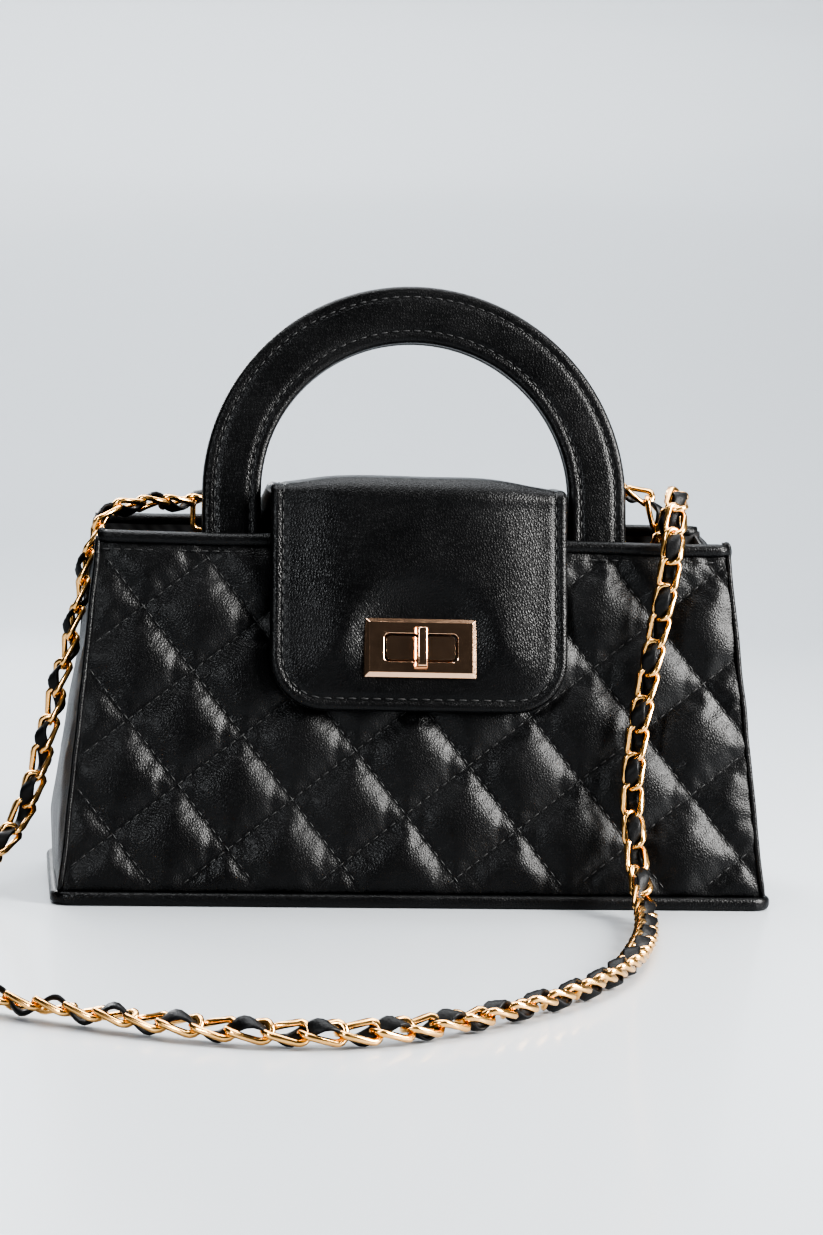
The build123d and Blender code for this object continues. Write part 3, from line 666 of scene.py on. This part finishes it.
for name in ("left", "right"):
    gusset_bm = bmesh.new()
    bmesh.ops.create_grid(gusset_bm, x_segments=GUSSET_COLUMNS, y_segments=GUSSET_ROWS, size=1)
    for vertex in gusset_bm.verts:
        vertex.co = gusset_place(name, vertex.co.x, (vertex.co.y + 1) / 2)
    bmesh.ops.recalc_face_normals(gusset_bm, faces=gusset_bm.faces)
    gusset_bm.faces.ensure_lookup_table()
    hand = -1 if name == "left" else 1
    if gusset_bm.faces[0].normal.x * hand < 0:
        bmesh.ops.reverse_faces(gusset_bm, faces=gusset_bm.faces)
    gusset = finished("gusset_" + name + "_leather", gusset_bm, quilt_hide)
    shell = gusset.modifiers.new("thickness", "SOLIDIFY")
    shell.thickness = GUSSET_HIDE
    shell.offset = -1
    edge_bm = bmesh.new()
    drop = Vector((hand * GUSSET_EDGE_DROP, 0, GUSSET_EDGE_DROP))
    line = [gusset_place(name, i / (GUSSET_EDGE_STEPS // 2) - 1, 1.0) - drop
            for i in range(GUSSET_EDGE_STEPS + 1)]
    rolled(edge_bm, line, GUSSET_EDGE_ACROSS, GUSSET_EDGE_UP, Vector((0, 0, 1)), 12)
    edge = finished("gusset_" + name + "_edge", edge_bm, smooth_hide)
    for piece in (gusset, edge):
        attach(piece, "bag")
    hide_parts("gusset_" + name)

# ---------------------------------------------------------------- base
# A stiff board and foam lie in a tray of the same leather. Its turned edge shows below the walls, which stand
# on it.
BASE_ROUND = 0.0080
BASE_SOFT = 0.0019
BASE_EDGE = 0.0024
BASE_FLOOR = 0.0012
BASE_CREASE = 0.0001

low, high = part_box("base_cover")
base_bm = bmesh.new()
bmesh.ops.create_cube(base_bm, size=1, matrix=Matrix.Translation((low + high) / 2) @ Matrix.Diagonal(
    (*(high - low), 1)))
uprights = [e for e in base_bm.edges if abs(e.verts[0].co.z - e.verts[1].co.z) > 0.001]
bmesh.ops.bevel(base_bm, geom=uprights, offset=BASE_ROUND, segments=8, profile=0.5, affect="EDGES", material=-1)
for level_z in (low.z, high.z):
    ring = [e for e in base_bm.edges if all(abs(v.co.z - level_z) < 1e-6 for v in e.verts)]
    bmesh.ops.bevel(base_bm, geom=ring, offset=BASE_SOFT, segments=4, profile=0.5, affect="EDGES", material=-1)
lid = max(base_bm.faces, key=lambda face: face.calc_center_median().z)
bmesh.ops.inset_region(base_bm, faces=[lid], thickness=BASE_EDGE)
bmesh.ops.inset_region(base_bm, faces=[lid], thickness=BASE_CREASE)
bmesh.ops.translate(base_bm, verts=lid.verts, vec=(0, 0, low.z + BASE_FLOOR - high.z))
base = finished("base_tray", base_bm, smooth_hide)
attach(base, "bag")
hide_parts("base_cover")

# ---------------------------------------------------------------- linings and hidden stiffeners
# The inside is lined with black twill, glued to the leather. Under the lining of the base are foam and a sheet
# of grey board.


def woven(name, dark, pale, threads_a_metre, roughness):
    """Twill: fine slanting ribs."""
    made = bpy.data.materials.new(name)
    made.use_nodes = True
    tree = made.node_tree
    shader = tree.nodes["Principled BSDF"]
    shader.inputs["Roughness"].default_value = roughness
    shader.inputs["Sheen Weight"].default_value = 0.25
    place = tree.nodes.new("ShaderNodeTexCoord")
    ribs = tree.nodes.new("ShaderNodeTexWave")
    ribs.bands_direction = "DIAGONAL"
    ribs.inputs["Scale"].default_value = threads_a_metre / 20
    ribs.inputs["Distortion"].default_value = 1.2
    ribs.inputs["Detail"].default_value = 3
    tree.links.new(place.outputs["Object"], ribs.inputs["Vector"])
    tint = tree.nodes.new("ShaderNodeMix")
    tint.data_type = "RGBA"
    tint.inputs["A"].default_value = dark
    tint.inputs["B"].default_value = pale
    tree.links.new(ribs.outputs["Fac"], tint.inputs["Factor"])
    tree.links.new(tint.outputs["Result"], shader.inputs["Base Color"])
    raised = tree.nodes.new("ShaderNodeBump")
    raised.inputs["Strength"].default_value = 0.35
    raised.inputs["Distance"].default_value = 0.0002
    tree.links.new(ribs.outputs["Fac"], raised.inputs["Height"])
    tree.links.new(raised.outputs["Normal"], shader.inputs["Normal"])
    return made


lining = woven("black_twill", (0.010, 0.010, 0.011, 1), (0.030, 0.030, 0.032, 1), 2400, 0.75)
board = woven("grey_board", (0.20, 0.19, 0.17, 1), (0.27, 0.26, 0.24, 1), 900, 0.9)
wadding = woven("white_foam", (0.62, 0.61, 0.58, 1), (0.75, 0.74, 0.71, 1), 1500, 0.95)


def clad(material, *names):
    """Gives CAD pieces their finish."""
    for name in names:
        mesh = nodes[name].data
        mesh.materials.clear()
        mesh.materials.append(material)


clad(lining, "front_lining", "back_lining", "gusset_lining_left", "gusset_lining_right", "base_lining")
clad(board, "base_board")
clad(wadding, "base_foam")

# ---------------------------------------------------------------- flap
# One padded leather tongue, sewn to the back wall, that runs over the mouth, folds over a filler roll and hangs
# down the front. Its edge is rolled and stitched all round, and twill lines its under side.
FLAP_CORNER = 0.020
FLAP_THICKNESS = 0.0042
FLAP_ROLL = FLAP_THICKNESS / 2
FLAP_CROWN = 0.0034
FLAP_SEAM_IN = 0.0044
FLAP_SEAM_DEPTH = 0.0006
FLAP_STITCH_PITCH = 0.0045
FLAP_ROW_STEP = 0.0022
FLAP_COLUMNS = 76
FLAP_RIM_GAP = 0.0010
FLAP_WALL_GAP = 0.002
FLAP_LEVEL = 0.019  # the stretch that lies level behind the fold
FLAP_SHOULDER = 0.0036
FLAP_RIM_LIFT = 0.0016
FLAP_RIM_OUT = 0.0006
FLAP_EASE = 0.0002
FLAP_BEND_STEP = 0.001
FLAP_BEND_ROUNDS = 10
FLAP_STEP = 0.0005
FLAP_SEAM_WIDTH = 0.0011
FLAP_SWELL = 0.017
FLAP_RIPPLE = 0.0004
FLAP_RIPPLE_DETAIL = 38
LOCK_PRESS = 0.0245
FLAP_STITCH_LENGTH = 0.0032
FLAP_TAIL_SEAM = 0.004
SLOT_WIDTH = 0.027
SLOT_HEIGHT = 0.0104

flap_low, flap_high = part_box("flap_front_leather")
roll_low, roll_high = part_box("flap_fold_roll")
top_low, top_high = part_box("flap_top_leather")
lock_low, lock_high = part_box("lock_frame")
flap_half = flap_high.x
fold = Vector((0, (roll_low.y + roll_high.y) / 2, (roll_low.z + roll_high.z) / 2))
front = wall_frame(-1)
back = wall_frame(1)
tail = -back.to_3x3().col[1]
flap_gap = FLAP_WALL_GAP + FLAP_THICKNESS / 2


def flap_line():
    """The flap's middle line, from the hem in front, up, over the fold and the rim, to the tail's end."""
    hem = front @ Vector((0, (flap_low.z - front.translation.z) / front.col[1].z, flap_gap))
    shoulder = front @ Vector((0, (fold.z - FLAP_WALL_GAP - front.translation.z) / front.col[1].z, flap_gap))
    turn = fold.z + FLAP_THICKNESS / 2 + FLAP_EASE
    ridge = Vector((0, fold.y - FLAP_EASE, top_high.z - FLAP_THICKNESS / 2))
    level_end = Vector((0, fold.y + FLAP_LEVEL, ridge.z))
    rim = Vector((0, 0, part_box("back_rim_binding")[1].z + FLAP_RIM_GAP))
    rim.y = back.translation.y + (rim.z - back.translation.z) * back.col[1].y / back.col[1].z
    rim_out = rim + back.to_3x3().col[2] * (FLAP_THICKNESS / 2 + FLAP_RIM_OUT) + Vector((0, 0, FLAP_RIM_LIFT))
    end = rim + back.to_3x3().col[2] * FLAP_THICKNESS / 2
    end = end + tail * ((end.z - top_low.z) / -tail.z)
    bends = [hem, shoulder, Vector((0, fold.y - FLAP_SHOULDER, turn)), ridge, level_end, rim_out, end]
    line = []
    for a, b in zip(bends, bends[1:]):
        count = max(1, round((b - a).length / FLAP_BEND_STEP))
        line += [a.lerp(b, i / count) for i in range(count)]
    line.append(end)
    for _ in range(FLAP_BEND_ROUNDS):
        middle = [(a + 2 * b + c) / 4 for a, b, c in zip(line, line[1:], line[2:])]
        line = [line[0]] + middle + [line[-1]]
    return line


flap_places, flap_ways = walk(flap_line(), FLAP_STEP)
flap_length = FLAP_STEP * (len(flap_places) - 1)


def flap_frame(along):
    """The flap's frame at a distance from the hem: x across, y towards the tail, z out."""
    at = min(max(along / FLAP_STEP, 0), len(flap_places) - 1.001)
    i = int(at)
    place = flap_places[i].lerp(flap_places[i + 1], at - i)
    way = flap_ways[i].lerp(flap_ways[i + 1], at - i).normalized()
    across = Vector((1, 0, 0))
    return Matrix.Translation(place) @ Matrix((across, way, across.cross(way))).transposed().to_4x4()


def flap_edge(x, along):
    """How far a point of the flap is from its outline, which has round corners at the hem."""
    if along < FLAP_CORNER and abs(x) > flap_half - FLAP_CORNER:
        corner = Vector((abs(x) - (flap_half - FLAP_CORNER), FLAP_CORNER - along))
        return FLAP_CORNER - corner.length
    return min(flap_half - abs(x), along, flap_length - along)


def flap_height(x, along):
    """How far the leather stands above the flap's middle line."""
    inward = max(flap_edge(x, along), 0)
    if inward < FLAP_ROLL:
        return math.sqrt(FLAP_ROLL ** 2 - (FLAP_ROLL - inward) ** 2)
    seam = math.exp(-((inward - FLAP_SEAM_IN) / FLAP_SEAM_WIDTH) ** 2) * FLAP_SEAM_DEPTH
    swell_up = 1 - math.exp(-((inward - FLAP_ROLL) / FLAP_SWELL) ** 2)
    lock_at = (flap_lock - Vector((x, along))).length
    pressed = math.exp(-(lock_at / LOCK_PRESS) ** 6)
    ripple = noise.noise(Vector((x * FLAP_RIPPLE_DETAIL, along * FLAP_RIPPLE_DETAIL, 0.4))) * FLAP_RIPPLE
    return FLAP_ROLL - seam + (FLAP_CROWN + ripple) * swell_up * (1 - pressed)


lock_middle = front.inverted() @ ((lock_low + lock_high) / 2)
hem_at = (flap_low.z - front.translation.z) / front.col[1].z
flap_lock = Vector((0, lock_middle.y - hem_at))
flap_rows = [FLAP_CORNER * (1 - math.cos(math.pi / 2 * i / 22)) for i in range(22)]
while flap_rows[-1] < flap_length - 0.004:
    flap_rows.append(flap_rows[-1] + FLAP_ROW_STEP * 0.75)
flap_rows += [flap_length - 0.0021 * (1 - math.sin(math.pi / 2 * i / 5)) for i in range(6)]

flap_bm = bmesh.new()
bmesh.ops.create_grid(flap_bm, x_segments=FLAP_COLUMNS, y_segments=len(flap_rows) - 1, size=1)
cells = {}
for vertex in flap_bm.verts:
    along = flap_rows[round((vertex.co.y + 1) / 2 * (len(flap_rows) - 1))]
    half = flap_half
    if along < FLAP_CORNER:
        half += math.sqrt(FLAP_CORNER ** 2 - (FLAP_CORNER - along) ** 2) - FLAP_CORNER
    x = half * math.sin(vertex.co.x * math.pi / 2)
    cells[vertex] = (x, along)
under = bmesh.ops.duplicate(flap_bm, geom=flap_bm.verts[:] + flap_bm.edges[:] + flap_bm.faces[:])
partner = under["vert_map"]
bottom = [piece for piece in under["geom"] if isinstance(piece, bmesh.types.BMFace)]
for vertex, (x, along) in cells.items():
    up = flap_height(x, along)
    down = min(up, FLAP_ROLL)
    place = flap_frame(along)
    vertex.co = place @ Vector((x, 0, up))
    partner[vertex].co = place @ Vector((x, 0, -down))
for face in bottom:
    face.material_index = 1
bmesh.ops.remove_doubles(flap_bm, verts=flap_bm.verts, dist=1e-6)
bmesh.ops.recalc_face_normals(flap_bm, faces=flap_bm.faces)
flap = finished("flap_leather", flap_bm, smooth_hide, lining)

slot_bm = bmesh.new()
bmesh.ops.create_cube(slot_bm, size=1, matrix=Matrix.Diagonal((SLOT_WIDTH, SLOT_HEIGHT, 0.03, 1)))
bmesh.ops.bevel(slot_bm, geom=[e for e in slot_bm.edges if abs(e.verts[0].co.z - e.verts[1].co.z) > 0.01],
                offset=0.002, segments=4, profile=0.5, affect="EDGES", material=-1)
bmesh.ops.transform(slot_bm, verts=slot_bm.verts,
                    matrix=front @ Matrix.Translation((0, lock_middle.y, lock_middle.z)))
punch = finished("slot_punch", slot_bm, lining, smooth=False)
cut = flap.modifiers.new("slot", "BOOLEAN")
cut.operation = "DIFFERENCE"
cut.solver = "EXACT"
cut.object = punch
punched = bpy.data.meshes.new_from_object(flap.evaluated_get(bpy.context.evaluated_depsgraph_get()))
flap.modifiers.clear()
flap.data = punched
bpy.data.objects.remove(punch)

flap_seam = bmesh.new()
flap_seam.from_mesh(flap.data)
known = len(flap_seam.faces)
turn_at = FLAP_CORNER - FLAP_SEAM_IN
side_x = flap_half - FLAP_SEAM_IN
seam_line = [Vector((side_x, along)) for along in (flap_length - FLAP_TAIL_SEAM, FLAP_CORNER)]
seam_line += [Vector((flap_half - FLAP_CORNER + turn_at * math.cos(a), FLAP_CORNER - turn_at * math.sin(a)))
              for a in (math.pi / 2 * i / 16 for i in range(1, 17))]
seam_line += [Vector((-spot.x, spot.y)) for spot in reversed(seam_line)]
spots, turns = walk([spot.to_3d() for spot in seam_line], FLAP_STITCH_PITCH)
for spot, turn in zip(spots, turns):
    place = flap_frame(spot.y)
    way = place.to_3x3() @ turn
    stitch(flap_seam, place @ Vector((spot.x, 0, flap_height(spot.x, spot.y) + 0.0001)), way,
           FLAP_STITCH_LENGTH)
flap_seam.faces.ensure_lookup_table()
for face in flap_seam.faces[known:]:
    face.material_index = 2
    face.smooth = True
flap_seam.to_mesh(flap.data)
flap_seam.free()
flap.data.materials.append(thread)
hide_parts("flap_front_leather", "flap_front_padding", "flap_front_lining", "flap_top_leather",
            "flap_top_padding", "flap_top_lining", "flap_fold_roll")
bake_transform(flap)

# ---------------------------------------------------------------- turn-lock
# Pale rose-gold plated castings: a bevelled frame riveted to the flap, and a boss, collar, post and turning
# toggle on the wall. The nut and washer inside are plain plated steel.
rose_gold = metal("rose_gold", (0.93, 0.60, 0.40, 1), 0.09, 0.11)
steel = metal("plated_steel", (0.66, 0.65, 0.63, 1), 0.28, 0.15)
clad(rose_gold, "lock_frame", "lock_frame_back_plate", "lock_frame_rivets", "lock_base_plate", "lock_collar",
     "lock_post")
clad(steel, "lock_washer_plate", "lock_nut")
for name, width in (("lock_frame", 0.00022), ("lock_base_plate", 0.0003)):
    weld = nodes[name].modifiers.new("weld", "WELD")
    weld.merge_threshold = 1e-5
    soften = nodes[name].modifiers.new("soften", "BEVEL")
    soften.width = width
    soften.segments = 2
    soften.limit_method = "ANGLE"
    soften.angle_limit = math.radians(25)

TOGGLE_TAPER = 0.62
TOGGLE_SOFT = 0.0005
toggle_mesh = nodes["lock_toggle"].data
toggle_spots = [front.inverted() @ vertex.co for vertex in toggle_mesh.vertices]
toggle_low = Vector([min(spot[axis] for spot in toggle_spots) for axis in range(3)])
toggle_high = Vector([max(spot[axis] for spot in toggle_spots) for axis in range(3)])
toggle_bm = bmesh.new()
bmesh.ops.create_cube(toggle_bm, size=1, matrix=Matrix.Translation((toggle_low + toggle_high) / 2)
                      @ Matrix.Diagonal((*(toggle_high - toggle_low), 1)))
for vertex in toggle_bm.verts:
    if vertex.co.z > toggle_high.z - 0.001:
        vertex.co.x *= TOGGLE_TAPER
        vertex.co.y += (toggle_low.y + toggle_high.y - 2 * vertex.co.y) * 0.04
bmesh.ops.bevel(toggle_bm, geom=toggle_bm.edges[:], offset=TOGGLE_SOFT, segments=3, profile=0.5,
                affect="EDGES", material=-1)
bmesh.ops.transform(toggle_bm, verts=toggle_bm.verts, matrix=front)
toggle = finished("toggle_bar", toggle_bm, rose_gold)
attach(toggle, "toggle")
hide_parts("lock_toggle")

# ---------------------------------------------------------------- top handle
# A stiff core between two leathers, cut as an arch and stitched along both edges. Its ends go down inside the
# front wall and are sewn in under patches.
HANDLE_HALF_BAND = 0.01075
HANDLE_OUTER = 0.079
HANDLE_HALF_THICK = 0.0035
HANDLE_ARC_STEPS = 56
HANDLE_SEAM_IN = 0.0043
HANDLE_STITCH_PITCH = 0.0041
HANDLE_WALL_GAP = 0.0003
HANDLE_DEPTH = 0.028
HANDLE_RISE = 0.0953
HANDLE_LEG_STEPS = 16
HANDLE_CROWN = 0.0004
HANDLE_SEAM_DEPTH = 0.00045
HANDLE_SEAM_WIDTH = 0.0009
HANDLE_EDGE_ROUND = 0.0018
HANDLE_EDGE_LIP = 0.0011  # the painted edge between the two leathers is a shallow groove
HANDLE_EDGE_GROOVE = 0.0004
HANDLE_EDGE_SUNK = 0.0003
HANDLE_SEAM_START = 0.010
HANDLE_FACE_STEPS = 17

low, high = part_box("front_rim_binding")
rim_at = (high.z - front.translation.z) / front.col[1].z
handle_mid = -(WALL_THICKNESS + HANDLE_WALL_GAP + HANDLE_HALF_THICK)
handle_frame = front @ Matrix.Translation((0, rim_at, handle_mid))
handle_spring = HANDLE_RISE - HANDLE_OUTER
arch_radius = HANDLE_OUTER - HANDLE_HALF_BAND


def band_height(across):
    """Half the band's thickness, from its middle line: crowned, dipped at the seams and rounded at the edge."""
    edge = HANDLE_HALF_BAND - abs(across)
    crown = HANDLE_CROWN * (1 - (across / HANDLE_HALF_BAND) ** 2)
    seam = HANDLE_SEAM_DEPTH * math.exp(-((edge - HANDLE_SEAM_IN) / HANDLE_SEAM_WIDTH) ** 2)
    corner = HANDLE_EDGE_ROUND
    rounding = 0 if edge > corner else corner - math.sqrt(corner ** 2 - (corner - edge) ** 2)
    return HANDLE_HALF_THICK + crown - seam - rounding


handle_bm = bmesh.new()
face_steps = [math.sin(math.pi / 2 * i / HANDLE_FACE_STEPS)
              for i in range(-HANDLE_FACE_STEPS, HANDLE_FACE_STEPS + 1)]
outline = [Vector((HANDLE_HALF_BAND * step, band_height(HANDLE_HALF_BAND * step))) for step in face_steps]
edge_sunk = HANDLE_HALF_BAND - HANDLE_EDGE_SUNK
edge_line = [Vector((HANDLE_HALF_BAND, HANDLE_EDGE_LIP)), Vector((edge_sunk, HANDLE_EDGE_GROOVE)),
             Vector((edge_sunk, -HANDLE_EDGE_GROOVE)), Vector((HANDLE_HALF_BAND, -HANDLE_EDGE_LIP))]
outline += edge_line
outline += [Vector((spot.x, -spot.y)) for spot in reversed(outline[:len(face_steps)])]
outline += [Vector((-spot.x, spot.y)) for spot in reversed(edge_line)]
section = [handle_bm.verts.new((arch_radius + spot.x, handle_spring, spot.y)) for spot in outline]
section_edges = [handle_bm.edges.new(pair) for pair in zip(section, section[1:] + section[:1])]
bmesh.ops.spin(handle_bm, geom=section + section_edges, cent=(0, handle_spring, 0), axis=(0, 0, 1),
               angle=math.pi, steps=HANDLE_ARC_STEPS)
for hand in (-1, 1):
    loop = [e for e in handle_bm.edges if e.is_boundary and e.verts[0].co.x * hand > 0]
    for _ in range(HANDLE_LEG_STEPS):
        longer = bmesh.ops.extrude_edge_only(handle_bm, edges=loop)["geom"]
        moved = [piece for piece in longer if isinstance(piece, bmesh.types.BMVert)]
        bmesh.ops.translate(handle_bm, verts=moved, vec=(0, -(handle_spring + HANDLE_DEPTH) / HANDLE_LEG_STEPS, 0))
        loop = [piece for piece in longer if isinstance(piece, bmesh.types.BMEdge) and piece.is_boundary]
    bmesh.ops.holes_fill(handle_bm, edges=loop)
bmesh.ops.remove_doubles(handle_bm, verts=handle_bm.verts, dist=1e-6)
bmesh.ops.recalc_face_normals(handle_bm, faces=handle_bm.faces)
known = len(handle_bm.faces)
for inset in (-1, 1):
    radius = arch_radius + inset * (HANDLE_HALF_BAND - HANDLE_SEAM_IN)
    line = [Vector((radius, -HANDLE_SEAM_START, 0))]
    line += [Vector((radius * math.cos(a), handle_spring + radius * math.sin(a), 0))
             for a in (math.pi * i / 90 for i in range(91))]
    line.append(Vector((-radius, -HANDLE_SEAM_START, 0)))
    spots, turns = walk(line, HANDLE_STITCH_PITCH)
    lift = band_height(HANDLE_HALF_BAND - HANDLE_SEAM_IN) + 0.0001
    for spot, turn in zip(spots, turns):
        for face in (-1, 1):
            stitch(handle_bm, spot + Vector((0, 0, face * lift)), turn)
handle_bm.faces.ensure_lookup_table()
for face in handle_bm.faces[known:]:
    face.material_index = 1
bmesh.ops.transform(handle_bm, verts=handle_bm.verts, matrix=handle_frame)
handle = finished("handle_arch", handle_bm, smooth_hide, thread)
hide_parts("handle_front_leather", "handle_core", "handle_back_leather", "handle_anchor_left",
            "handle_anchor_right")
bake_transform(handle)

# ---------------------------------------------------------------- patches, ring tabs and rings
# Leather patches cover the handle's ends inside the front wall. Small folded tabs, sewn to the back wall, hold
# the gilt rings that the chain hangs from.
clad(smooth_hide, "handle_patch_left", "handle_patch_right", "strap_tab_left", "strap_tab_right")
clad(gilt, "strap_ring_left", "strap_ring_right")
for name in ("strap_ring_left", "strap_ring_right"):
    nodes[name].data.polygons.foreach_set("use_smooth", [True] * len(nodes[name].data.polygons))
